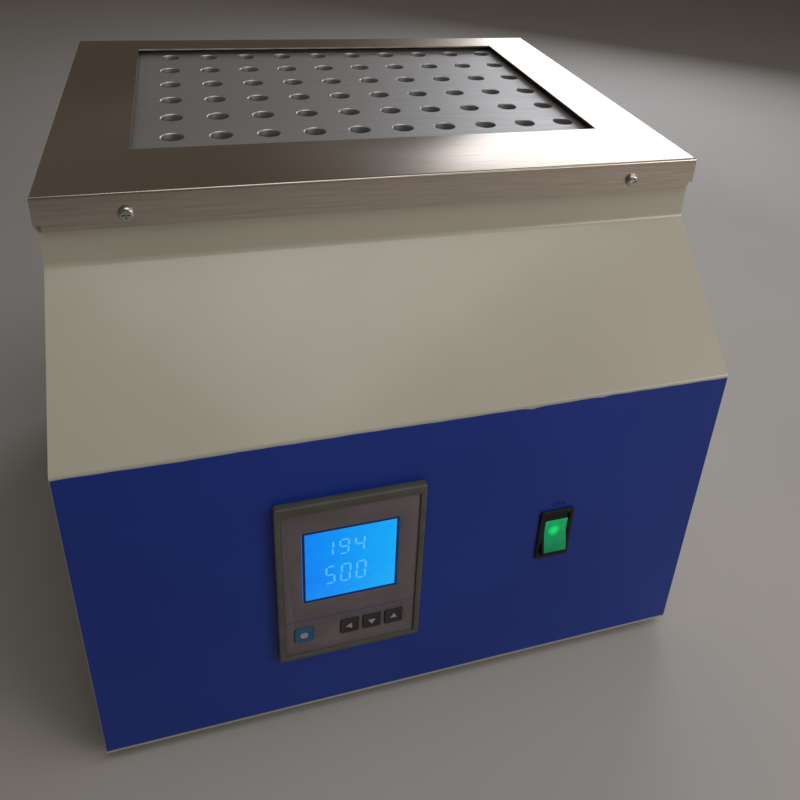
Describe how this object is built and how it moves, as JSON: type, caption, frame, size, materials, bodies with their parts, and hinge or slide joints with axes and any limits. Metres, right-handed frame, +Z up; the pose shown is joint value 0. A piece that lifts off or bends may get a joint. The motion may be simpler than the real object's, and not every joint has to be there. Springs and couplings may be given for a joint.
{
  "type": "block digester",
  "caption": "Bench block digester: folded steel case with sloped front, stainless cover with a window over an aluminium well block, temperature controller and rocker switch.",
  "frame": {"origin": "under the middle of the whole instrument, on the surface its feet stand on", "axes": "+Z up, front towards -Y, +X to the right seen from the front"},
  "size_m": [0.427, 0.444, 0.3785],
  "materials": {
    "cream_paint": "fine powder coat",
    "blue_film": "satin",
    "stainless": "brushed",
    "zinc": "zinc plated",
    "steel": "plain",
    "aluminium": "machined",
    "cast_aluminium": "cast",
    "fibre_board": "matt fibre",
    "ceramic": "unglazed ceramic",
    "olive_plastic": "fine grain",
    "mauve_plastic": "satin",
    "black_plastic": "satin",
    "display": "clear, backlit",
    "blue_key": "gloss",
    "dark_key": "satin",
    "green_rocker": "translucent, lit",
    "rubber": "matt",
    "brass": "plain"
  },
  "bodies": {
    "chassis": {"base_pan": "zinc", "block_bolts": "steel", "block_standoffs": "ceramic", "controller_bezel": "olive_plastic", "controller_case": "black_plastic", "controller_clamps": "black_plastic", "controller_face": "mauve_plastic", "cover_screws": "steel", "earth_nut": "brass", "earth_stud": "brass", "feet": "rubber", "feet_screws": "steel", "front_fascia": "cream_paint", "front_film": "blue_film", "fuse_holder": "black_plastic", "heater_plate": "cast_aluminium", "heater_terminals": "ceramic", "heating_block": "aluminium", "inlet_screws": "steel", "insulation_bottom": "fibre_board", "insulation_front": "fibre_board", "insulation_left": "fibre_board", "insulation_rear": "fibre_board", "insulation_right": "fibre_board", "lcd_window": "display", "pan_screws": "steel", "power_inlet": "black_plastic", "rear_panel": "cream_paint", "rear_screws": "steel", "relay": "black_plastic", "relay_heatsink": "aluminium", "relay_screws": "steel", "side_panel_left": "cream_paint", "side_panel_right": "cream_paint", "side_screws": "steel", "support_tray": "zinc", "switch_housing": "black_plastic", "temperature_probe": "steel", "terminal_block": "black_plastic", "thermal_cutout": "steel", "top_cover": "stainless"},
    "power_rocker": {"power_rocker": "green_rocker"},
    "set_key": {"set_key": "blue_key"},
    "shift_key": {"shift_key": "dark_key"},
    "down_key": {"down_key": "dark_key"},
    "up_key": {"up_key": "dark_key"},
    "fuse_cap": {"fuse_cap": "black_plastic"}
  },
  "joints": [
    {"name": "rocker_tilt", "type": "hinge", "parent": "chassis", "child": "power_rocker", "pos_m": [0.097, -0.211, 0.1354], "axis": [1, 0, 0], "range_deg": [0, 16]},
    {"name": "set_key_press", "type": "slide", "parent": "chassis", "child": "set_key", "axis": [0, 1, 0], "range_m": [0, 0.0007], "stiffness_N_per_m": 300},
    {"name": "shift_key_press", "type": "slide", "parent": "chassis", "child": "shift_key", "axis": [0, 1, 0], "range_m": [0, 0.0007], "stiffness_N_per_m": 300},
    {"name": "down_key_press", "type": "slide", "parent": "chassis", "child": "down_key", "axis": [0, 1, 0], "range_m": [0, 0.0007], "stiffness_N_per_m": 300},
    {"name": "up_key_press", "type": "slide", "parent": "chassis", "child": "up_key", "axis": [0, 1, 0], "range_m": [0, 0.0007], "stiffness_N_per_m": 300},
    {"name": "fuse_cap_turn", "type": "hinge", "parent": "chassis", "child": "fuse_cap", "pos_m": [0.082, 0.21, 0.058], "axis": [0, 1, 0], "range_deg": [0, 45]}
  ]
}
